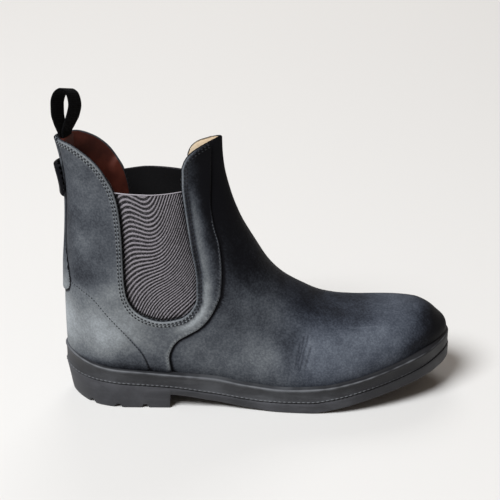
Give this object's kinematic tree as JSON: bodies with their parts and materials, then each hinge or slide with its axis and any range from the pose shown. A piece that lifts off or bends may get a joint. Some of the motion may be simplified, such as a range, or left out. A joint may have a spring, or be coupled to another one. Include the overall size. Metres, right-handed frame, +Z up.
{
  "type": "jodhpur boot",
  "caption": "Right ankle-high jodhpur boot with a hollow leather upper, elastic side gores, a pull loop at the back and a moulded rubber sole with a low heel.",
  "frame": {"origin": "on the floor, under the middle of the boot's box", "axes": "+X from heel to toe, +Y to the inner side of the foot, +Z up"},
  "size_m": [0.2746, 0.0968, 0.2205],
  "materials": {
    "leather": "matte oiled",
    "outsole_rubber": "matte moulded",
    "midsole_rubber": "satin moulded",
    "insole_board": "smooth",
    "elastic": "ribbed",
    "tape": "woven"
  },
  "bodies": {
    "root": {"outsole": "outsole_rubber", "midsole": "midsole_rubber", "insole": "insole_board", "upper": "leather", "quarter": "leather", "counter": "leather", "back_strip": "leather", "back_tab": "leather", "gore_outer": "elastic", "gore_inner": "elastic", "pull_loop": "tape"}
  },
  "joints": []
}
